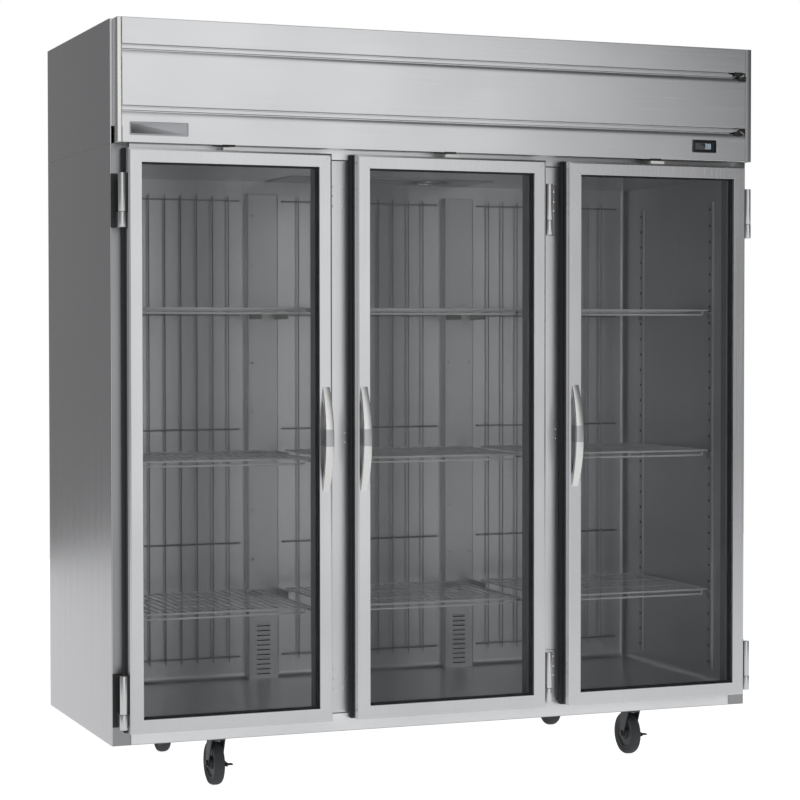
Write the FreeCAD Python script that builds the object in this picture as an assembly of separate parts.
import FreeCAD, Part
import math
import os

# Three-section reach-in refrigerator with glass doors, machinery on top and
# swivel casters below.  Millimetres.  +X runs to the right along the width,
# +Y from the doors to the back, +Z up.  The origin is on the floor, in the
# middle of the overall box.

V = FreeCAD.Vector

# ---------------------------------------------------------------- case sizes
CASE_WIDTH = 1981.0
CASE_DEPTH = 760.0
CASE_HEIGHT = 1991.0
SHEET = 1.0
SIDE_WALL = 50.0
BACK_WALL = 55.5
FLOOR_WALL = 56.5
BOX_HEIGHT = 1657.5
CEILING_WALL = 49.0
SEAM_HEIGHT = 1651.0
SEAM_GAP = 1.0

# --------------------------------------------------------------- front frame
STILE_FACE = 53.0
RAIL_FACE = 52.0
MULLION_FACE = 106.0
MULLION_DEPTH = 45.0
BREAKER_SIDE = 12.0
BREAKER_EDGE = 8.5
BREAKER_DEPTH = 30.0
TOP_RAIL_BOTTOM = 1624.0
TOP_RAIL_HEIGHT = 76.0

# --------------------------------------------------------------------- doors
DOOR_SIDE_MARGIN = 36.0
DOOR_SPACING = 75.5
DOOR_BOTTOM = 40.0
DOOR_TOP = 1637.0
DOOR_THICKNESS = 45.0
DOOR_STILE = 38.0
DOOR_RAIL = 38.0
GASKET_DEPTH = 17.0
GASKET_WIDTH = 25.0
GASKET_SIDE_LIP = 6.0
GASKET_END_LIP = 3.0
GASKET_GAP = 0.5
PANE = 4.0
OUTER_PANE_INSET = 12.0
INNER_PANE_INSET = 32.0
STRIKE_WIDTH = 45.0
STRIKE_HEIGHT = 9.0
STRIKE_DEPTH = 14.0
STRIKE_INSET = 7.0

# ------------------------------------------------------------------- handles
HANDLE_LENGTH = 298.0
HANDLE_CENTRE = 835.0
HANDLE_EDGE = 19.0
HANDLE_WIDTH = 24.0
HANDLE_REACH = 34.0
HANDLE_BAR = 8.0
HANDLE_FOOT = 34.0

# -------------------------------------------------------------------- hinges
HINGE_OFFSET = 15.0
HINGE_STANDOFF = 49.0
HINGE_RADIUS = 11.0
KNUCKLE_FIXED = 42.0
KNUCKLE_DOOR = 105.5
KNUCKLE_GAP = 0.5
UPPER_HINGE_BOTTOM = 1422.0
LOWER_HINGE_BOTTOM = 52.0
PIN_RADIUS = 4.0
PIN_ENGAGEMENT = 70.0
PIN_CLEARANCE = 0.06
HINGE_PLATE = 3.0
HINGE_PLATE_HEIGHT = 148.0
MULLION_PLATE_WIDTH = 52.0
LEAF_THICKNESS = 3.0
LEAF_DEPTH = 26.0
HINGE_ARM = 12.0

# -------------------------------------------------------------------- header
HEADER_PROUD = 50.0
HEADER_INSET = 9.0
HEADER_BOTTOM = 1652.0
GROOVE_HEIGHT = 17.0
GROOVE_DEPTH = 7.0
UPPER_GROOVE_DROP = 80.0
LOWER_GROOVE_CENTRE = 1744.5
BADGE_WIDTH = 165.0
BADGE_HEIGHT = 37.0
BADGE_CENTRE_X = -865.0
BADGE_CENTRE_Z = 1690.5
BADGE_PROUD = 1.5
BEZEL_WIDTH = 81.0
BEZEL_HEIGHT = 38.0
BEZEL_CENTRE_X = 820.5
BEZEL_CENTRE_Z = 1695.0
BEZEL_PROUD = 2.0

# ------------------------------------------------------------------ interior
POST_SHIFT = 1.25
POST_WIDTH = 99.0
POST_DEPTH = 24.5
POST_TOP = 1569.0
POST_HOLE_RADIUS = 3.5
POST_HOLE_SPREAD = 70.2
POST_HOLE_PITCH = 152.8
POST_HOLE_FIRST = 126.0
POST_HOLE_ROWS = 10
LOUVER_SLOTS = 11
LOUVER_WIDTH = 43.0
LOUVER_SLOT = 6.0
LOUVER_PITCH = 15.0
LOUVER_FIRST = 72.0
GUARD_WIRE = 4.0
GUARD_BAR = 6.0
GUARD_PITCH = 51.0
GUARD_BARS = 5
GUARD_BAR_PITCH = 355.5
GUARD_BOTTOM = 126.0
GUARD_OVERRUN = 14.0
GUARD_STANDOFF = 8.0
GUARD_MARGIN = 8.0

# ------------------------------------------------------------------- shelves
SHELF_HEIGHTS = (347.5, 777.0, 1208.5)
SHELF_WALL_GAP = 8.0
SHELF_SIDE_GAP = 19.25
SHELF_MIDDLE_GAP = 20.75
SHELF_FRONT = 97.0
SHELF_BACK_GAP = 78.0
SHELF_WIRE = 5.0
SHELF_DROP = 14.0
SHELF_LOWER_INSET = 26.0
SHELF_CROSS_PITCH = 25.0
PILASTER_WIDTH = 25.0
PILASTER_DEPTH = 6.5
PILASTER_FRONT = 104.0
PILASTER_BACK_INSET = 42.0
PILASTER_BOTTOM = 95.0
PILASTER_TOP = 1540.0
CENTRE_PILASTER = 40.0
CLIP_HEIGHT = 20.0
CLIP_THICKNESS = 3.0
CLIP_OVERLAP = 9.0

# ----------------------------------------------------------------- machinery
DUCT_HALF_WIDTH = 310.0
DUCT_DEPTH = 230.0
DUCT_BACK_INSET = 110.0
EVAP_HEIGHT = 230.0
EVAP_WALL = 20.0
COIL_BACK_GAP = 12.0
EVAP_COIL_DEPTH = 80.0
EVAP_COIL_HEIGHT = 150.0
EVAP_COIL_INSET = 30.0
EVAP_COIL_FEET = 6.0
FAN_PANEL = 3.0
FAN_SPREAD = 300.0
FAN_INSET = 85.0
EVAP_FAN_HOLE = 72.0
FAN_TIP_GAP = 4.0
FAN_HUB = 22.0
FAN_HUB_LENGTH = 18.0
FAN_BLADES = 5
FAN_BLADE_THICKNESS = 1.5
FAN_BLADE_WIDTH = 44.0
FAN_BLADE_PITCH = 22.0
SHAFT_RADIUS = 4.0
SHAFT_CLEARANCE = 0.06
MOTOR_RADIUS = 34.0
MOTOR_LENGTH = 48.0
MOTOR_GAP = 6.0
GUARD_SPIDER = 8.0
CONDENSER_CENTRE = 770.0
CONDENSER_WIDTH = 320.0
CONDENSER_HEIGHT = 230.0
CONDENSER_DEPTH = 44.0
CONDENSER_FRONT = 110.0
SHROUD_DEPTH = 46.0
COND_FAN_HOLE = 104.0
COMPRESSOR_X = 770.0
COMPRESSOR_INSET = 100.0
COMPRESSOR_RADIUS = 82.0
COMPRESSOR_SHELL = 120.0
COMPRESSOR_PLATE = 210.0
COMPRESSOR_FOOT = 22.0
GROMMET_RADIUS = 14.0
TUBE_RADIUS = 5.0
CONTROL_BOX = (430.0, 80.0, 210.0, 150.0, 150.0)
INLET_CENTRE = 890.0
INLET_SIZE = (64.0, 40.0, 52.0)
INLET_RECESS = (34.0, 22.0, 16.0)

# ------------------------------------------------------------------- casters
CASTER_SIDE_INSET = 330.5
CASTER_FRONT = 100.0
CASTER_BACK_INSET = 103.0
WHEEL_RADIUS = 63.5
WHEEL_WIDTH = 30.0
TREAD_CROWN = 4.0
WHEEL_TRAIL = 30.0
WHEEL_SIDE_GAP = 3.0
WHEEL_TOP_GAP = 2.9
FORK_LEG = 3.0
FORK_CROWN = 6.0
FORK_RADIUS = 26.0
FORK_TOP_GAP = 0.3
FORK_FOOT = 13.0
AXLE_RADIUS = 5.0
AXLE_HEAD = 9.0
AXLE_HEAD_LENGTH = 5.0
AXLE_CLEARANCE = 0.05
HUB_RADIUS = 17.0
CASTER_PLATE = (95.0, 70.0, 4.0)
RACE_RADIUS = 24.0
RACE_HEIGHT = 8.5
KINGPIN_RADIUS = 6.0
KINGPIN_NUT = 10.0
KINGPIN_NUT_HEIGHT = 3.5
LEVER_THICKNESS = 4.0
LEVER_GAP = 0.5
LEVER_RADIUS = 12.0
LEVER_LENGTH = 52.0
PEDAL_WIDTH = 16.0

# ------------------------------------------------- sizes that follow others
DOOR_WIDTH = (CASE_WIDTH - 2 * DOOR_SIDE_MARGIN - 2 * DOOR_SPACING) / 3
CASTER_HEIGHT = (2 * WHEEL_RADIUS + WHEEL_TOP_GAP + KINGPIN_NUT_HEIGHT + 2 * FORK_TOP_GAP
                 + FORK_CROWN + RACE_HEIGHT + CASTER_PLATE[2])
SHELF_DEPTH = CASE_DEPTH - BACK_WALL - POST_DEPTH - SHELF_FRONT - SHELF_BACK_GAP
PILASTER_BACK = SHELF_FRONT + SHELF_DEPTH - PILASTER_BACK_INSET
CASTER_BACK = CASE_DEPTH - CASTER_BACK_INSET
DUCT_BACK = CASE_DEPTH - DUCT_BACK_INSET
DUCT_FRONT = DUCT_BACK - DUCT_DEPTH
FAN_FRONT = DUCT_FRONT + FAN_INSET
COMPRESSOR_Y = DUCT_FRONT + COMPRESSOR_INSET
UPPER_GROOVE_CENTRE = CASE_HEIGHT - UPPER_GROOVE_DROP

# ------------------------------------------------------------ derived places
FRONT_REACH = GASKET_DEPTH + DOOR_THICKNESS + HANDLE_REACH
FACE_Y = (FRONT_REACH - CASE_DEPTH) / 2
BACK_Y = FACE_Y + CASE_DEPTH
BASE_Z = CASTER_HEIGHT
HALF_WIDTH = CASE_WIDTH / 2
INNER_X = HALF_WIDTH - SIDE_WALL
INNER_BACK_Y = BACK_Y - BACK_WALL
FLOOR_Z = BASE_Z + FLOOR_WALL
DECK_Z = BASE_Z + BOX_HEIGHT
CEILING_Z = DECK_Z - CEILING_WALL
DOOR_PITCH = DOOR_WIDTH + DOOR_SPACING
MULLION_X = DOOR_PITCH / 2
POST_OFFSET = MULLION_X + POST_SHIFT
CASTER_OFFSET = HALF_WIDTH - CASTER_SIDE_INSET
DOOR_CENTRES = {"left": -DOOR_PITCH, "middle": 0.0, "right": DOOR_PITCH}
HINGE_SIDES = {"left": -1, "middle": 1, "right": 1}
DOOR_FRONT_Y = FACE_Y - GASKET_DEPTH - DOOR_THICKNESS
DOOR_BACK_Y = FACE_Y - GASKET_DEPTH
HINGE_Y = FACE_Y - HINGE_STANDOFF
HEADER_Y = FACE_Y - HEADER_PROUD
HEADER_X = HALF_WIDTH - HEADER_INSET
CASE_TOP_Z = BASE_Z + CASE_HEIGHT
SECTIONS = {
    "left": (-HALF_WIDTH + STILE_FACE, -MULLION_X - MULLION_FACE / 2),
    "middle": (-MULLION_X + MULLION_FACE / 2, MULLION_X - MULLION_FACE / 2),
    "right": (MULLION_X + MULLION_FACE / 2, HALF_WIDTH - STILE_FACE),
}
HINGE_BASES = (BASE_Z + LOWER_HINGE_BOTTOM, BASE_Z + UPPER_HINGE_BOTTOM)
POST_FACE_Y = INNER_BACK_Y - POST_DEPTH


def block(x, y, z):
    """Box between two values on each axis, given in either order."""
    low = V(min(x), min(y), min(z))
    return Part.makeBox(abs(x[1] - x[0]), abs(y[1] - y[0]), abs(z[1] - z[0]), low)


def span(centre, width):
    """Low and high values of a width about a centre."""
    return (centre - width / 2, centre + width / 2)


def rod(start, end, radius):
    """Round bar between two points."""
    start = V(*start)
    along = V(*end) - start
    return Part.makeCylinder(radius, along.Length, start, along)


def fused(solids):
    """One solid joined from solids that share material."""
    return solids[0].multiFuse(solids[1:]).removeSplitter()


def prism(points, vector):
    """Solid swept straight along a vector from a closed outline."""
    outline = Part.makePolygon([V(*p) for p in points] + [V(*points[0])])
    return Part.Face(outline).extrude(V(*vector))


def write(name, solids):
    """Write one sub-part's solids as a single STEP file."""
    shape = solids[0] if len(solids) == 1 else Part.makeCompound(solids)
    shape.exportStep("parts/" + name + ".step")


def from_face(depth):
    """Y value that lies a depth behind the front frame's face."""
    return FACE_Y + depth


# ---------------------------------------------------------------- case shell
def side_panel(side):
    """Outer side sheet, from the base to the seam below the header."""
    x = (side * HALF_WIDTH, side * (HALF_WIDTH - SHEET))
    return [block(x, (FACE_Y, BACK_Y), (BASE_Z, BASE_Z + SEAM_HEIGHT))]


def compartment_panels():
    """Side sheets, front flanges and rear brace around the machinery."""
    low = BASE_Z + SEAM_HEIGHT + SEAM_GAP
    z = (low, CASE_TOP_Z)
    solids = []
    for side in (-1, 1):
        outer = side * HALF_WIDTH
        inner = side * (HALF_WIDTH - SHEET)
        solids.append(block((outer, inner), (FACE_Y, BACK_Y), z))
        flange = (inner, inner - side * STILE_FACE / 2)
        above_rail = BASE_Z + TOP_RAIL_BOTTOM + TOP_RAIL_HEIGHT
        solids.append(block(flange, (FACE_Y, FACE_Y + SHEET), (above_rail, CASE_TOP_Z)))
    brace_x = (-HALF_WIDTH + SHEET, HALF_WIDTH - SHEET)
    brace_z = (CASE_TOP_Z - STILE_FACE, CASE_TOP_Z)
    solids.append(block(brace_x, (BACK_Y - SHEET, BACK_Y), brace_z))
    return solids


def back_panel():
    """Outer rear sheet between the side panels."""
    x = (-HALF_WIDTH + SHEET, HALF_WIDTH - SHEET)
    return [block(x, (BACK_Y - SHEET, BACK_Y), (BASE_Z, DECK_Z))]


def base_pan():
    """Bottom sheet that carries the caster plates."""
    x = (-HALF_WIDTH + SHEET, HALF_WIDTH - SHEET)
    return [block(x, (FACE_Y, BACK_Y - SHEET), (BASE_Z, BASE_Z + SHEET))]


def around_duct(x, y, z):
    """Four boxes that fill a slab around the air duct in the ceiling."""
    front = from_face(DUCT_FRONT)
    back = from_face(DUCT_BACK)
    return [
        block(x, (y[0], front), z),
        block(x, (back, y[1]), z),
        block((x[0], -DUCT_HALF_WIDTH), (front, back), z),
        block((DUCT_HALF_WIDTH, x[1]), (front, back), z),
    ]


def wall_insulation():
    """Foam slabs of the sides, back, floor and ceiling."""
    outer_x = HALF_WIDTH - SHEET
    liner_x = INNER_X + SHEET
    front = FACE_Y + SHEET
    back = BACK_Y - SHEET
    liner_back = INNER_BACK_Y + SHEET
    floor = (BASE_Z + SHEET, FLOOR_Z - SHEET)
    ceiling = (CEILING_Z + SHEET, DECK_Z - SHEET)
    wall_z = (floor[1], ceiling[0])
    solids = [block((-outer_x, outer_x), (front, back), floor)]
    solids.append(block((-outer_x, -liner_x), (front, back), wall_z))
    solids.append(block((liner_x, outer_x), (front, back), wall_z))
    solids.append(block((-liner_x, liner_x), (liner_back, back), wall_z))
    solids.extend(around_duct((-outer_x, outer_x), (front, back), ceiling))
    return solids


def inner_liner():
    """Thin skins that face the storage space."""
    liner_x = INNER_X + SHEET
    front = FACE_Y + SHEET
    liner_back = INNER_BACK_Y + SHEET
    wall_z = (FLOOR_Z, CEILING_Z)
    floor = (FLOOR_Z - SHEET, FLOOR_Z)
    ceiling = (CEILING_Z, CEILING_Z + SHEET)
    solids = [block((-liner_x, liner_x), (front, liner_back), floor)]
    solids.append(block((-liner_x, -INNER_X), (front, liner_back), wall_z))
    solids.append(block((INNER_X, liner_x), (front, liner_back), wall_z))
    solids.append(block((-INNER_X, INNER_X), (INNER_BACK_Y, liner_back), wall_z))
    solids.extend(around_duct((-liner_x, liner_x), (front, liner_back), ceiling))
    return solids


def top_deck():
    """Sheet over the ceiling foam that the machinery stands on."""
    x = (-HALF_WIDTH + SHEET, HALF_WIDTH - SHEET)
    return around_duct(x, (FACE_Y + SHEET, BACK_Y - SHEET), (DECK_Z - SHEET, DECK_Z))


# --------------------------------------------------------------- front frame
def front_frame():
    """Face sheets of the front: two stiles, a bottom rail and a top rail."""
    y = (FACE_Y, FACE_Y + SHEET)
    x = (-HALF_WIDTH + STILE_FACE, HALF_WIDTH - STILE_FACE)
    low = BASE_Z + SHEET
    top = BASE_Z + TOP_RAIL_BOTTOM
    rail_top = top + TOP_RAIL_HEIGHT
    return [
        block((-HALF_WIDTH + SHEET, x[0]), y, (low, rail_top)),
        block((x[1], HALF_WIDTH - SHEET), y, (low, rail_top)),
        block(x, y, (low, BASE_Z + RAIL_FACE)),
        block(x, y, (top, rail_top)),
    ]


def mullion_posts():
    """Two hollow uprights between the doors, each of four sheets."""
    z = (FLOOR_Z, CEILING_Z)
    face_z = (BASE_Z + RAIL_FACE, BASE_Z + TOP_RAIL_BOTTOM)
    front = FACE_Y + SHEET
    back = from_face(MULLION_DEPTH)
    solids = []
    for centre in (-MULLION_X, MULLION_X):
        low, high = span(centre, MULLION_FACE)
        solids.append(block((low, high), (FACE_Y, front), face_z))
        solids.append(block((low, low + SHEET), (front, back), z))
        solids.append(block((high - SHEET, high), (front, back), z))
        solids.append(block((low + SHEET, high - SHEET), (back - SHEET, back), z))
    return solids


def breaker_side(edge, inward, depth, z):
    """Upright plastic strip on one edge of a door opening."""
    return block((edge, edge + inward * BREAKER_SIDE), (FACE_Y, from_face(depth)), z)


def breaker_strips():
    """Plastic strips that line the front of each door opening."""
    low = FLOOR_Z + BREAKER_EDGE
    high = CEILING_Z - BREAKER_EDGE
    lip = (FACE_Y, FACE_Y + SHEET)
    body = (FACE_Y + SHEET, from_face(BREAKER_DEPTH))
    face_low = BASE_Z + RAIL_FACE
    face_high = BASE_Z + TOP_RAIL_BOTTOM
    solids = []
    for left, right in SECTIONS.values():
        for edge, inward in ((left, 1), (right, -1)):
            at_wall = abs(edge) > MULLION_X + MULLION_FACE
            depth = BREAKER_DEPTH if at_wall else MULLION_DEPTH
            strip = breaker_side(edge, inward, depth, (low, high))
            if at_wall:
                wall = math.copysign(INNER_X, edge)
                strip = fused([strip, block((edge, wall), body, (low, high))])
            solids.append(strip)
        x = (left, right)
        for body_z, lip_z in (((FLOOR_Z, low), (face_low, low)),
                              ((high, CEILING_Z), (high, face_high))):
            solids.append(fused([block(x, lip, lip_z), block(x, body, body_z)]))
    return solids


# -------------------------------------------------------------------- header
def header_panel():
    """Fascia of three flat bands, two recessed grooves and four returns."""
    x = (-HEADER_X, HEADER_X)
    skin = (HEADER_Y, HEADER_Y + SHEET)
    low = BASE_Z + HEADER_BOTTOM
    grooves = [span(BASE_Z + LOWER_GROOVE_CENTRE, GROOVE_HEIGHT),
               span(BASE_Z + UPPER_GROOVE_CENTRE, GROOVE_HEIGHT)]
    levels = [low, *grooves[0], *grooves[1], CASE_TOP_Z]
    solids = [block(x, skin, band) for band in zip(levels[0::2], levels[1::2])]
    floor_y = HEADER_Y + GROOVE_DEPTH
    inner = (-HEADER_X + SHEET, HEADER_X - SHEET)
    wall_y = (HEADER_Y + SHEET, floor_y)
    for bottom, top in grooves:
        solids.append(block(inner, wall_y, (bottom - SHEET, bottom)))
        solids.append(block(inner, wall_y, (top, top + SHEET)))
        solids.append(block(inner, (floor_y, floor_y + SHEET), (bottom - SHEET, top + SHEET)))
    returns_y = (HEADER_Y + SHEET, FACE_Y)
    solids.append(block(inner, returns_y, (low, low + SHEET)))
    solids.append(block(inner, returns_y, (CASE_TOP_Z - SHEET, CASE_TOP_Z)))
    for side in (-1, 1):
        cap = (side * HEADER_X, side * (HEADER_X - SHEET))
        solids.append(block(cap, returns_y, (low, CASE_TOP_Z)))
    return solids


def badge_plate():
    """Blank plate on the header's lower band."""
    x = span(BADGE_CENTRE_X, BADGE_WIDTH)
    z = span(BASE_Z + BADGE_CENTRE_Z, BADGE_HEIGHT)
    return [block(x, (HEADER_Y - BADGE_PROUD, HEADER_Y), z)]


def controller_bezel():
    """Dark temperature display on the header's lower band."""
    x = span(BEZEL_CENTRE_X, BEZEL_WIDTH)
    z = span(BASE_Z + BEZEL_CENTRE_Z, BEZEL_HEIGHT)
    return [block(x, (HEADER_Y - BEZEL_PROUD, HEADER_Y), z)]


# --------------------------------------------------------------------- doors
def door_edges(name):
    """X of a door's left and right edges."""
    return span(DOOR_CENTRES[name], DOOR_WIDTH)


def ring(x, y, z, side, end):
    """Four bars around a rectangle: full-height sides, ends between them."""
    return [
        block((x[0], x[0] + side), y, z),
        block((x[1] - side, x[1]), y, z),
        block((x[0] + side, x[1] - side), y, (z[0], z[0] + end)),
        block((x[0] + side, x[1] - side), y, (z[1] - end, z[1])),
    ]


def door_frame(name):
    """Four frame bars around the glass."""
    z = (BASE_Z + DOOR_BOTTOM, BASE_Z + DOOR_TOP)
    return ring(door_edges(name), (DOOR_FRONT_Y, DOOR_BACK_Y), z, DOOR_STILE, DOOR_RAIL)


def door_glass(name):
    """Outer and inner panes that fill the frame's opening."""
    left, right = door_edges(name)
    x = (left + DOOR_STILE, right - DOOR_STILE)
    z = (BASE_Z + DOOR_BOTTOM + DOOR_RAIL, BASE_Z + DOOR_TOP - DOOR_RAIL)
    panes = []
    for inset in (OUTER_PANE_INSET, INNER_PANE_INSET):
        front = DOOR_FRONT_Y + inset
        panes.append(block(x, (front, front + PANE), z))
    return panes


def door_gasket(name):
    """Soft seal on the back of the door."""
    left, right = door_edges(name)
    x = (left - GASKET_SIDE_LIP, right + GASKET_SIDE_LIP)
    y = (DOOR_BACK_Y, FACE_Y - GASKET_GAP)
    low = BASE_Z + DOOR_BOTTOM - GASKET_END_LIP
    high = BASE_Z + DOOR_TOP + GASKET_END_LIP
    return ring(x, y, (low, high), GASKET_WIDTH, GASKET_WIDTH)


def door_handle(name):
    """Arched pull on the door's free edge, bowed toward the user."""
    left, right = door_edges(name)
    free = right - HANDLE_EDGE if HINGE_SIDES[name] < 0 else left + HANDLE_EDGE
    x0 = free - HANDLE_WIDTH / 2
    middle = BASE_Z + HANDLE_CENTRE
    half = HANDLE_LENGTH / 2
    top = DOOR_FRONT_Y - HANDLE_REACH
    outer = Part.Arc(V(x0, DOOR_FRONT_Y, middle - half), V(x0, top, middle),
                     V(x0, DOOR_FRONT_Y, middle + half))
    inner_half = half - HANDLE_FOOT
    inner = Part.Arc(V(x0, DOOR_FRONT_Y, middle + inner_half),
                     V(x0, top + HANDLE_BAR, middle),
                     V(x0, DOOR_FRONT_Y, middle - inner_half))
    foot_high = Part.makeLine(outer.EndPoint, inner.StartPoint)
    foot_low = Part.makeLine(inner.EndPoint, outer.StartPoint)
    wire = Part.Wire([outer.toShape(), foot_high, inner.toShape(), foot_low])
    return [Part.Face(wire).extrude(V(HANDLE_WIDTH, 0, 0))]


def hinge_x(name):
    """X of a door's hinge pins."""
    left, right = door_edges(name)
    return left - HINGE_OFFSET if HINGE_SIDES[name] < 0 else right + HINGE_OFFSET


def door_hardware(name):
    """Upper hinge knuckles with their leaves, and the strike on the top edge."""
    side = HINGE_SIDES[name]
    x = hinge_x(name)
    edge = x - side * HINGE_OFFSET
    solids = []
    for base in HINGE_BASES:
        low = base + KNUCKLE_FIXED + KNUCKLE_GAP
        barrel = rod((x, HINGE_Y, low), (x, HINGE_Y, low + KNUCKLE_DOOR), HINGE_RADIUS)
        leaf_x = (edge, edge + side * LEAF_THICKNESS)
        leaf_y = (HINGE_Y - HINGE_RADIUS / 2, HINGE_Y + LEAF_DEPTH)
        z = (low, low + KNUCKLE_DOOR)
        leaf = block(leaf_x, leaf_y, z)
        web = block((edge, x), span(HINGE_Y, HINGE_RADIUS), z)
        depth = PIN_ENGAGEMENT + 2 * KNUCKLE_GAP
        bore = rod((x, HINGE_Y, low - KNUCKLE_GAP), (x, HINGE_Y, low + depth),
                   PIN_RADIUS + PIN_CLEARANCE)
        solids.append(fused([barrel, leaf, web]).cut(bore))
    top = BASE_Z + DOOR_TOP
    strike_front = DOOR_FRONT_Y + STRIKE_INSET
    strike_y = (strike_front, strike_front + STRIKE_DEPTH)
    strike_x = span(DOOR_CENTRES[name], STRIKE_WIDTH)
    solids.append(block(strike_x, strike_y, (top, top + STRIKE_HEIGHT)))
    return solids


def hinge_brackets():
    """Plates on the front frame with lower knuckles and fixed pins."""
    solids = []
    for name, side in HINGE_SIDES.items():
        x = hinge_x(name)
        on_mullion = abs(x) < HALF_WIDTH / 2
        inner = x - side * (HINGE_RADIUS / 2)
        outer = x + side * MULLION_PLATE_WIDTH if on_mullion else side * (HALF_WIDTH - SHEET)
        for base in HINGE_BASES:
            z = (base, base + KNUCKLE_FIXED)
            plate_z = (base, base + HINGE_PLATE_HEIGHT)
            plate = block((inner, outer), (FACE_Y - HINGE_PLATE, FACE_Y), plate_z)
            arm = block(span(x, HINGE_ARM), (HINGE_Y, FACE_Y - HINGE_PLATE / 2), z)
            barrel = rod((x, HINGE_Y, z[0]), (x, HINGE_Y, z[1]), HINGE_RADIUS)
            pin = rod((x, HINGE_Y, z[0]), (x, HINGE_Y, z[1] + PIN_ENGAGEMENT), PIN_RADIUS)
            solids.append(fused([plate, arm, barrel, pin]))
    return solids


# ------------------------------------------------------------------ interior
def rear_posts():
    """Two upright channels on the back wall, punched for air and shelves."""
    z = (FLOOR_Z, BASE_Z + POST_TOP)
    skin = (POST_FACE_Y, POST_FACE_Y + SHEET)
    side_y = (POST_FACE_Y + SHEET, INNER_BACK_Y)
    through = (POST_FACE_Y - SHEET, POST_FACE_Y + 2 * SHEET)
    solids = []
    for centre in (-POST_OFFSET, POST_OFFSET):
        low, high = span(centre, POST_WIDTH)
        cuts = []
        for row in range(POST_HOLE_ROWS):
            height = BASE_Z + POST_HOLE_FIRST + row * POST_HOLE_PITCH
            for x in span(centre, POST_HOLE_SPREAD):
                cuts.append(rod((x, through[0], height), (x, through[1], height),
                                POST_HOLE_RADIUS))
        for slot in range(LOUVER_SLOTS):
            slot_z = span(BASE_Z + LOUVER_FIRST + slot * LOUVER_PITCH, LOUVER_SLOT)
            cuts.append(block(span(centre, LOUVER_WIDTH), through, slot_z))
        solids.append(block((low, high), skin, z).cut(Part.makeCompound(cuts)))
        solids.append(block((low, low + SHEET), side_y, z))
        solids.append(block((high - SHEET, high), side_y, z))
    return solids


def wire_guard(low, high):
    """Grid of wires that keeps goods off the rear wall, on small feet."""
    back = INNER_BACK_Y
    bar_y = (back - GUARD_STANDOFF - GUARD_BAR, back - GUARD_STANDOFF)
    wire_y = (bar_y[0] - GUARD_WIRE / 2, bar_y[0] + GUARD_WIRE / 2)
    bars = [BASE_Z + GUARD_BOTTOM + row * GUARD_BAR_PITCH for row in range(GUARD_BARS)]
    pieces = [block((low, high), bar_y, span(z, GUARD_BAR)) for z in bars]
    count = int((high - low) // GUARD_PITCH) + 1
    first = (low + high - (count - 1) * GUARD_PITCH) / 2
    wire_z = (bars[0] - GUARD_OVERRUN, bars[-1] + GUARD_OVERRUN)
    for column in range(count):
        x = first + column * GUARD_PITCH
        pieces.append(block(span(x, GUARD_WIRE), wire_y, wire_z))
    for x in (low + GUARD_BAR, high - GUARD_BAR):
        for z in (bars[0], bars[-1]):
            pieces.append(block(span(x, GUARD_BAR), (bar_y[0], back), span(z, GUARD_BAR)))
    return fused(pieces)


def rear_wire_guards():
    """Guards between the rear posts and the side walls."""
    post = POST_OFFSET - POST_WIDTH / 2 - GUARD_MARGIN
    outside = POST_OFFSET + POST_WIDTH / 2 + GUARD_MARGIN
    wall = INNER_X - GUARD_MARGIN
    return [wire_guard(-wall, -outside), wire_guard(-post, post), wire_guard(outside, wall)]


def wire_shelf(centre, width, top):
    """Wire shelf with a double front edge and cross wires on top."""
    front = from_face(SHELF_FRONT)
    y = (front, front + SHELF_DEPTH)
    x = span(centre, width)
    wire_z = (top - SHELF_WIRE, top)
    frame_z = (top - 2 * SHELF_WIRE + 1, top - SHELF_WIRE + 1)
    pieces = []
    for edge in (y[0], y[1] - SHELF_WIRE):
        pieces.append(block(x, (edge, edge + SHELF_WIRE), wire_z))
    for edge in (x[0], x[1] - SHELF_WIRE):
        pieces.append(block((edge, edge + SHELF_WIRE), y, wire_z))
    for share in (1 / 3, 2 / 3):
        cross = y[0] + share * SHELF_DEPTH
        pieces.append(block(x, span(cross, SHELF_WIRE), frame_z))
    count = int(width // SHELF_CROSS_PITCH)
    step = width / count
    for column in range(1, count):
        pieces.append(block(span(x[0] + column * step, SHELF_WIRE * 0.7), y, wire_z))
    low = top - SHELF_DROP
    lower_x = (x[0] + SHELF_LOWER_INSET, x[1] - SHELF_LOWER_INSET)
    pieces.append(block(lower_x, (y[0], y[0] + SHELF_WIRE), (low - SHELF_WIRE, low)))
    for strut in (lower_x[0] + SHELF_WIRE / 2, centre, lower_x[1] - SHELF_WIRE / 2):
        pieces.append(block(span(strut, SHELF_WIRE), (y[0], y[0] + SHELF_WIRE), (low, wire_z[1])))
    return fused(pieces)


def section_shelf(name):
    """X centre and width of the shelves in a section."""
    if name == "middle":
        return 0.0, 2 * (MULLION_X - CENTRE_PILASTER / 2 - SHELF_MIDDLE_GAP)
    side = -1 if name == "left" else 1
    low = MULLION_X + CENTRE_PILASTER / 2 + SHELF_SIDE_GAP
    high = INNER_X - PILASTER_DEPTH - SHELF_WALL_GAP
    return side * (low + high) / 2, high - low


def shelves(name):
    """Shelves of one section, from the lowest up."""
    centre, width = section_shelf(name)
    return [wire_shelf(centre, width, BASE_Z + height) for height in SHELF_HEIGHTS]


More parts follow.
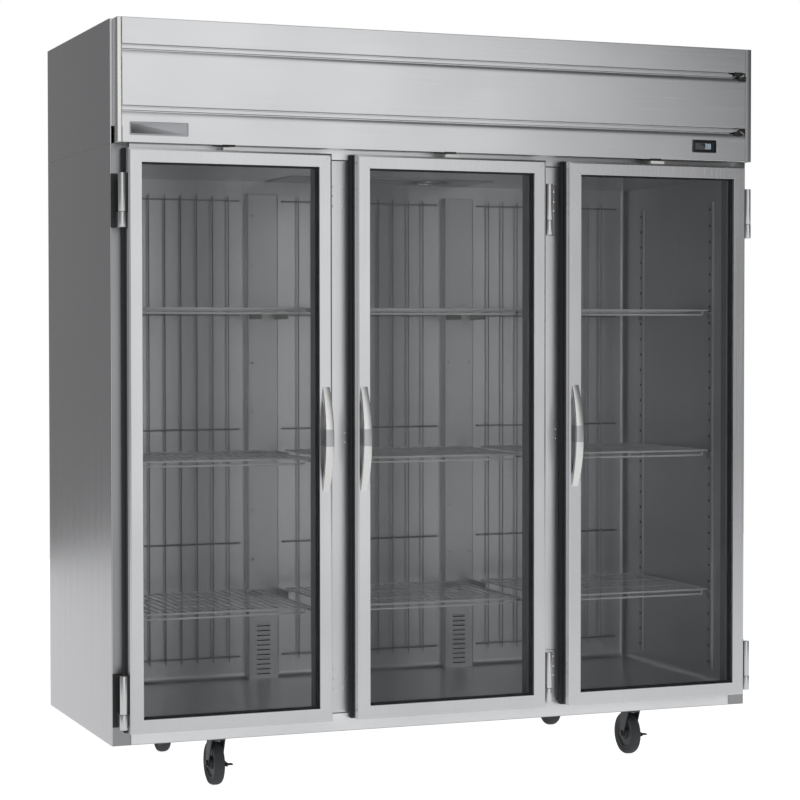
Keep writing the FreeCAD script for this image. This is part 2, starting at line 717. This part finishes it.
def shelf_pilasters():
    """Upright strips that carry the shelf clips."""
    z = (BASE_Z + PILASTER_BOTTOM, BASE_Z + PILASTER_TOP)
    solids = []
    for side in (-1, 1):
        wall = (side * INNER_X, side * (INNER_X - PILASTER_DEPTH))
        for place in (PILASTER_FRONT, PILASTER_BACK):
            y = (from_face(place), from_face(place + PILASTER_WIDTH))
            solids.append(block(wall, y, z))
        behind = (from_face(MULLION_DEPTH), from_face(PILASTER_FRONT + PILASTER_WIDTH))
        low, high = span(side * MULLION_X, CENTRE_PILASTER)
        solids.append(block((low, low + SHEET), behind, z))
        solids.append(block((high - SHEET, high), behind, z))
        solids.append(block((low + SHEET, high - SHEET), (behind[1] - SHEET, behind[1]), z))
    return solids


def clip(shelf_end, outward, root_x, y, top):
    """Bracket with an upright web beside a shelf end and a foot under it."""
    foot_x = (root_x, shelf_end - outward * CLIP_OVERLAP)
    foot = block(foot_x, y, (top - CLIP_THICKNESS, top))
    web = block((root_x, root_x - outward * CLIP_THICKNESS), y, (top - CLIP_HEIGHT, top))
    return fused([foot, web])


def shelf_clips():
    """Clips on the pilasters and arms hooked into the rear posts."""
    solids = []
    front_y = (from_face(PILASTER_FRONT), from_face(PILASTER_FRONT + PILASTER_WIDTH))
    back_y = (from_face(PILASTER_BACK), from_face(PILASTER_BACK + PILASTER_WIDTH))
    arm_y = (from_face(PILASTER_BACK), POST_FACE_Y)
    for name in SECTIONS:
        centre, width = section_shelf(name)
        for outward in (-1, 1):
            end = centre + outward * width / 2
            at_wall = abs(end) > HALF_WIDTH * 0.8
            near = math.copysign(MULLION_X, end)
            root = outward * (INNER_X - PILASTER_DEPTH) if at_wall else (
                near - outward * CENTRE_PILASTER / 2)
            post = math.copysign(POST_OFFSET, end) - outward * (POST_WIDTH / 2 - CLIP_OVERLAP)
            for height in SHELF_HEIGHTS:
                top = BASE_Z + height - 2 * SHELF_WIRE + 1
                solids.append(clip(end, outward, root, front_y, top))
                if at_wall:
                    solids.append(clip(end, outward, root, back_y, top))
                else:
                    solids.append(clip(end, outward, post, arm_y, top))
    return solids


# ----------------------------------------------------------------- machinery
def fan_panel():
    """Ceiling plate with two fan holes, motor spiders and motors."""
    z = (CEILING_Z - FAN_PANEL, CEILING_Z)
    x = (-DUCT_HALF_WIDTH - EVAP_WALL, DUCT_HALF_WIDTH + EVAP_WALL)
    y = (from_face(DUCT_FRONT) - EVAP_WALL, from_face(DUCT_BACK) + EVAP_WALL)
    plate = block(x, y, z)
    centre_y = from_face(FAN_FRONT)
    for centre in span(0, FAN_SPREAD):
        hole = rod((centre, centre_y, z[0] - SHEET), (centre, centre_y, z[1] + SHEET), EVAP_FAN_HOLE)
        arms = [block(span(centre, GUARD_SPIDER), span(centre_y, 2 * EVAP_FAN_HOLE), z),
                block(span(centre, 2 * EVAP_FAN_HOLE), span(centre_y, GUARD_SPIDER), z)]
        hub = rod((centre, centre_y, z[0]), (centre, centre_y, z[1]), MOTOR_RADIUS)
        motor_top = z[1] + MOTOR_LENGTH / 3
        motor = rod((centre, centre_y, z[1]), (centre, centre_y, motor_top), MOTOR_RADIUS)
        shaft_top = motor_top + MOTOR_GAP + FAN_HUB_LENGTH
        shaft = rod((centre, centre_y, motor_top), (centre, centre_y, shaft_top), SHAFT_RADIUS)
        plate = plate.cut(hole).multiFuse([*arms, hub, motor, shaft])
    return [plate.removeSplitter()]


def fan_rotor(tip_radius):
    """Fan wheel about the Z axis with its hub's foot at the origin."""
    hub = Part.makeCylinder(FAN_HUB, FAN_HUB_LENGTH)
    middle = FAN_HUB_LENGTH / 2
    blades = []
    for index in range(FAN_BLADES):
        blade = block((FAN_HUB - 2, tip_radius), span(0, FAN_BLADE_WIDTH),
                      span(0, FAN_BLADE_THICKNESS))
        blade.rotate(V(0, 0, 0), V(1, 0, 0), FAN_BLADE_PITCH)
        blade.translate(V(0, 0, middle))
        blade.rotate(V(0, 0, 0), V(0, 0, 1), index * 360 / FAN_BLADES)
        blades.append(blade)
    rim = Part.makeCylinder(tip_radius, 2 * FAN_HUB_LENGTH, V(0, 0, middle - FAN_HUB_LENGTH))
    wheel = hub.multiFuse([blade.common(rim) for blade in blades])
    bore = Part.makeCylinder(SHAFT_RADIUS + SHAFT_CLEARANCE, 3 * FAN_HUB_LENGTH,
                             V(0, 0, -FAN_HUB_LENGTH))
    return wheel.cut(bore)


def evaporator_fan(side):
    """Fan wheel on one of the ceiling motors."""
    rotor = fan_rotor(EVAP_FAN_HOLE - FAN_TIP_GAP)
    foot = CEILING_Z + MOTOR_LENGTH / 3 + MOTOR_GAP
    rotor.translate(V(side * FAN_SPREAD / 2, from_face(FAN_FRONT), foot))
    return [rotor]


def evaporator_housing():
    """Insulated cover over the duct: four walls and a lid."""
    x = (-DUCT_HALF_WIDTH - EVAP_WALL, DUCT_HALF_WIDTH + EVAP_WALL)
    y = (from_face(DUCT_FRONT) - EVAP_WALL, from_face(DUCT_BACK) + EVAP_WALL)
    wall_top = DECK_Z + EVAP_HEIGHT - EVAP_WALL
    solids = ring_flat(x, y, (DECK_Z, wall_top), EVAP_WALL)
    solids.append(block(x, y, (wall_top, DECK_Z + EVAP_HEIGHT)))
    return solids


def ring_flat(x, y, z, wall):
    """Four upright walls around a rectangle seen from above."""
    return [
        block(x, (y[0], y[0] + wall), z),
        block(x, (y[1] - wall, y[1]), z),
        block((x[0], x[0] + wall), (y[0] + wall, y[1] - wall), z),
        block((x[1] - wall, x[1]), (y[0] + wall, y[1] - wall), z),
    ]


def evaporator_coil():
    """Finned block at the back of the housing, on two feet above the pan."""
    back = from_face(DUCT_BACK) - COIL_BACK_GAP
    x = (-DUCT_HALF_WIDTH + EVAP_COIL_INSET, DUCT_HALF_WIDTH - EVAP_COIL_INSET)
    y = (back - EVAP_COIL_DEPTH, back)
    coil = block(x, y, (DECK_Z, DECK_Z + EVAP_COIL_HEIGHT))
    solids = [coil]
    for end, side in ((x[0], -1), (x[1], 1)):
        foot_x = (end, side * DUCT_HALF_WIDTH)
        solids.append(block(foot_x, y, (DECK_Z, DECK_Z + EVAP_COIL_FEET)))
    return [fused(solids)]


def condenser_coil():
    """Finned block that the condenser fan draws air through."""
    x = span(CONDENSER_CENTRE, CONDENSER_WIDTH)
    y = (from_face(CONDENSER_FRONT), from_face(CONDENSER_FRONT + CONDENSER_DEPTH))
    return [block(x, y, (DECK_Z, DECK_Z + CONDENSER_HEIGHT))]


def condenser_axis():
    """Y of the shroud's front and Z of the condenser fan's axis."""
    return from_face(CONDENSER_FRONT + CONDENSER_DEPTH), DECK_Z + CONDENSER_HEIGHT / 2


def condenser_shroud():
    """Plate behind the coil with the fan hole, motor spider, motor and shaft."""
    front, z = condenser_axis()
    x = CONDENSER_CENTRE
    back = front + SHROUD_DEPTH
    body = block(span(x, CONDENSER_WIDTH), (front, back), (DECK_Z, DECK_Z + CONDENSER_HEIGHT))
    body = body.cut(rod((x, front - SHEET, z), (x, back + SHEET, z), COND_FAN_HOLE))
    spider_y = (back, back + GUARD_SPIDER)
    arms = [block(span(x, CONDENSER_WIDTH), spider_y, span(z, GUARD_SPIDER)),
            block(span(x, GUARD_SPIDER), spider_y, (DECK_Z, DECK_Z + CONDENSER_HEIGHT))]
    motor = rod((x, back, z), (x, back + MOTOR_LENGTH, z), MOTOR_RADIUS)
    shaft_tip = back - MOTOR_GAP - FAN_HUB_LENGTH
    shaft = rod((x, back, z), (x, shaft_tip, z), SHAFT_RADIUS)
    return [fused([body, *arms, motor, shaft])]


def condenser_fan():
    """Fan wheel inside the shroud."""
    front, z = condenser_axis()
    rotor = fan_rotor(COND_FAN_HOLE - FAN_TIP_GAP)
    rotor.rotate(V(0, 0, 0), V(1, 0, 0), 90)
    rotor.translate(V(CONDENSER_CENTRE, front + SHROUD_DEPTH - MOTOR_GAP, z))
    return [rotor]


def compressor():
    """Welded dome on a mounting plate with four grommets."""
    x = COMPRESSOR_X
    y = from_face(COMPRESSOR_Y)
    plate_z = DECK_Z + COMPRESSOR_FOOT
    plate = block(span(x, COMPRESSOR_PLATE), span(y, COMPRESSOR_PLATE), (plate_z, plate_z + 2 * SHEET))
    base = plate_z + 2 * SHEET
    shell = rod((x, y, plate_z), (x, y, base + COMPRESSOR_SHELL), COMPRESSOR_RADIUS)
    dome = Part.makeSphere(COMPRESSOR_RADIUS, V(x, y, base + COMPRESSOR_SHELL))
    flat = block(span(x, 3 * COMPRESSOR_RADIUS), span(y, 3 * COMPRESSOR_RADIUS),
                 (base + COMPRESSOR_SHELL + COMPRESSOR_RADIUS / 2, CASE_TOP_Z))
    grommets = []
    reach = COMPRESSOR_PLATE - 3 * GROMMET_RADIUS
    for gx in span(x, reach):
        for gy in span(y, reach):
            grommets.append(rod((gx, gy, DECK_Z), (gx, gy, plate_z), GROMMET_RADIUS))
    return [fused([plate, shell, dome.cut(flat), *grommets])]


def tube(points):
    """Pipe along straight runs, rounded where the runs meet."""
    pieces = [rod(a, b, TUBE_RADIUS) for a, b in zip(points, points[1:])]
    pieces.extend(Part.makeSphere(TUBE_RADIUS, V(*p)) for p in points[1:-1])
    return fused(pieces)


def refrigerant_lines():
    """Discharge and suction lines between compressor, coil and evaporator."""
    y = from_face(COMPRESSOR_Y)
    shell_z = DECK_Z + COMPRESSOR_FOOT + COMPRESSOR_SHELL / 2
    right = CONDENSER_CENTRE + CONDENSER_WIDTH / 2
    coil_y = from_face(CONDENSER_FRONT + CONDENSER_DEPTH / 2)
    out_x = right + 4 * TUBE_RADIUS
    discharge = tube([
        (COMPRESSOR_X + COMPRESSOR_RADIUS, y, shell_z),
        (out_x, y, shell_z),
        (out_x, coil_y, shell_z),
        (right, coil_y, shell_z),
    ])
    house_x = DUCT_HALF_WIDTH + EVAP_WALL
    suction = tube([
        (COMPRESSOR_X - COMPRESSOR_RADIUS, y, shell_z),
        (house_x, y, shell_z),
    ])
    left = CONDENSER_CENTRE - CONDENSER_WIDTH / 2
    turn_x = left - 4 * TUBE_RADIUS
    liquid_y = from_face(DUCT_FRONT) + EVAP_WALL
    liquid = tube([
        (left, coil_y, shell_z),
        (turn_x, coil_y, shell_z),
        (turn_x, liquid_y, shell_z),
        (house_x, liquid_y, shell_z),
    ])
    return [discharge, suction, liquid]


def control_box():
    """Sheet-metal electrical box on the deck: four walls and a lid."""
    centre, depth, width, length, height = CONTROL_BOX
    x = span(centre, width)
    y = (from_face(depth), from_face(depth + length))
    lid = DECK_Z + height
    return [*ring_flat(x, y, (DECK_Z, lid), SHEET), block(x, y, (lid, lid + SHEET))]


def power_inlet():
    """Recessed socket for a supply lead, on the deck at the back."""
    width, length, height = INLET_SIZE
    back = BACK_Y - SHEET
    body = block(span(INLET_CENTRE, width), (back - length, back), (DECK_Z, DECK_Z + height))
    recess_width, recess_height, recess_depth = INLET_RECESS
    recess = block(span(INLET_CENTRE, recess_width), (back - recess_depth, back),
                   span(DECK_Z + height / 2, recess_height))
    return [body.cut(recess)]


# ------------------------------------------------------------------- casters
def caster_places():
    """Name and swivel axis of each caster."""
    front = from_face(CASTER_FRONT)
    back = from_face(CASTER_BACK)
    return {
        "front_left": (-CASTER_OFFSET, front),
        "front_right": (CASTER_OFFSET, front),
        "rear_left": (-CASTER_OFFSET, back),
        "rear_right": (CASTER_OFFSET, back),
    }


def crown_top():
    """Z of the top of a fork's crown."""
    return BASE_Z - CASTER_PLATE[2] - RACE_HEIGHT - FORK_TOP_GAP


def caster_plates():
    """Mounting plates, bearing races and kingpins under the base pan."""
    width, length, thickness = CASTER_PLATE
    under = BASE_Z - thickness
    nut_top = crown_top() - FORK_CROWN - FORK_TOP_GAP
    solids = []
    for x, y in caster_places().values():
        plate = block(span(x, width), span(y, length), (under, BASE_Z))
        race = rod((x, y, under - RACE_HEIGHT), (x, y, under), RACE_RADIUS)
        pin = rod((x, y, nut_top), (x, y, under), KINGPIN_RADIUS)
        nut = rod((x, y, nut_top - KINGPIN_NUT_HEIGHT), (x, y, nut_top), KINGPIN_NUT)
        solids.append(fused([plate, race, pin, nut]))
    return solids


def caster_fork(x, y, braked):
    """Crown, two legs and the axle; a braked fork's axle carries a lever."""
    top = crown_top()
    low = top - FORK_CROWN
    leg_in = WHEEL_WIDTH / 2 + WHEEL_SIDE_GAP
    leg_out = leg_in + FORK_LEG
    axle_y = y + WHEEL_TRAIL
    crown = rod((x, y, low), (x, y, top), FORK_RADIUS)
    pieces = [crown, block(span(x, 2 * leg_out), span(y, FORK_RADIUS), (low, top))]
    for inner in (leg_in, -leg_out):
        outline = [
            (x + inner, y - FORK_RADIUS / 2, top),
            (x + inner, y + FORK_RADIUS, top),
            (x + inner, axle_y + FORK_FOOT, WHEEL_RADIUS),
            (x + inner, axle_y + FORK_FOOT / 2, WHEEL_RADIUS - FORK_FOOT),
            (x + inner, axle_y - FORK_FOOT / 2, WHEEL_RADIUS - FORK_FOOT),
            (x + inner, axle_y - FORK_FOOT, WHEEL_RADIUS),
        ]
        pieces.append(prism(outline, (FORK_LEG, 0, 0)))
    lever = LEVER_THICKNESS + 2 * LEVER_GAP if braked else 0.0
    end = leg_out + lever
    pieces.append(rod((x - leg_out, axle_y, WHEEL_RADIUS), (x + end, axle_y, WHEEL_RADIUS),
                      AXLE_RADIUS))
    for head in (-leg_out - AXLE_HEAD_LENGTH, end):
        pieces.append(rod((x + head, axle_y, WHEEL_RADIUS),
                          (x + head + AXLE_HEAD_LENGTH, axle_y, WHEEL_RADIUS), AXLE_HEAD))
    body = fused(pieces)
    hole = rod((x, y, low - FORK_CROWN), (x, y, top + FORK_CROWN), KINGPIN_RADIUS + AXLE_CLEARANCE)
    return [body.cut(hole)]


def caster_wheel(x, y):
    """Tyre and hub turned about the axle."""
    axle_y = y + WHEEL_TRAIL
    half = WHEEL_WIDTH / 2
    bore = AXLE_RADIUS + AXLE_CLEARANCE
    face = half - TREAD_CROWN
    hub = half + WHEEL_SIDE_GAP / 2
    profile = [
        (-hub, bore), (-hub, HUB_RADIUS), (-half, HUB_RADIUS),
        (-half, WHEEL_RADIUS - TREAD_CROWN), (-face, WHEEL_RADIUS),
        (face, WHEEL_RADIUS), (half, WHEEL_RADIUS - TREAD_CROWN),
        (half, HUB_RADIUS), (hub, HUB_RADIUS), (hub, bore),
    ]
    points = [V(x + a, axle_y, WHEEL_RADIUS + r) for a, r in profile]
    face = Part.Face(Part.makePolygon(points + [points[0]]))
    return [face.revolve(V(x, axle_y, WHEEL_RADIUS), V(1, 0, 0), 360)]


def brake_lever(x, y):
    """Side lever with a pedal, turning on the axle."""
    axle_y = y + WHEEL_TRAIL
    inner = WHEEL_WIDTH / 2 + WHEEL_SIDE_GAP + FORK_LEG + LEVER_GAP
    outer = inner + LEVER_THICKNESS
    ring_body = rod((x + inner, axle_y, WHEEL_RADIUS), (x + outer, axle_y, WHEEL_RADIUS),
                    LEVER_RADIUS)
    tip = axle_y - LEVER_LENGTH
    arm = block((x + inner, x + outer), (tip, axle_y), span(WHEEL_RADIUS, LEVER_RADIUS))
    pedal = block((x + inner, x + outer + PEDAL_WIDTH), (tip, tip + PEDAL_WIDTH),
                  span(WHEEL_RADIUS, LEVER_THICKNESS))
    bore = rod((x, axle_y, WHEEL_RADIUS), (x + 2 * outer, axle_y, WHEEL_RADIUS),
               AXLE_RADIUS + AXLE_CLEARANCE)
    return [fused([ring_body, arm, pedal]).cut(bore)]


os.makedirs("parts", exist_ok=True)

write("left_side_panel", side_panel(-1))
write("right_side_panel", side_panel(1))
write("compartment_panels", compartment_panels())
write("back_panel", back_panel())
write("base_pan", base_pan())
write("wall_insulation", wall_insulation())
write("inner_liner", inner_liner())
write("top_deck", top_deck())
write("front_frame", front_frame())
write("mullion_posts", mullion_posts())
write("breaker_strips", breaker_strips())
write("header_panel", header_panel())
write("badge_plate", badge_plate())
write("controller_bezel", controller_bezel())
write("hinge_brackets", hinge_brackets())
write("rear_posts", rear_posts())
write("rear_wire_guards", rear_wire_guards())
write("shelf_pilasters", shelf_pilasters())
write("shelf_clips", shelf_clips())
write("fan_panel", fan_panel())
write("evaporator_housing", evaporator_housing())
write("evaporator_coil", evaporator_coil())
write("condenser_coil", condenser_coil())
write("condenser_shroud", condenser_shroud())
write("condenser_fan", condenser_fan())
write("compressor", compressor())
write("refrigerant_lines", refrigerant_lines())
write("control_box", control_box())
write("power_inlet", power_inlet())
write("caster_plates", caster_plates())

for fan, fan_side in (("left", -1), ("right", 1)):
    write(fan + "_evaporator_fan", evaporator_fan(fan_side))

for door in DOOR_CENTRES:
    write(door + "_shelves", shelves(door))
    write(door + "_door_frame", door_frame(door))
    write(door + "_door_glass", door_glass(door))
    write(door + "_door_gasket", door_gasket(door))
    write(door + "_door_handle", door_handle(door))
    write(door + "_door_hardware", door_hardware(door))

for corner, (caster_x, caster_y) in caster_places().items():
    in_front = corner.startswith("front")
    write(corner + "_fork", caster_fork(caster_x, caster_y, in_front))
    write(corner + "_wheel", caster_wheel(caster_x, caster_y))
    if in_front:
        write(corner + "_brake_lever", brake_lever(caster_x, caster_y))
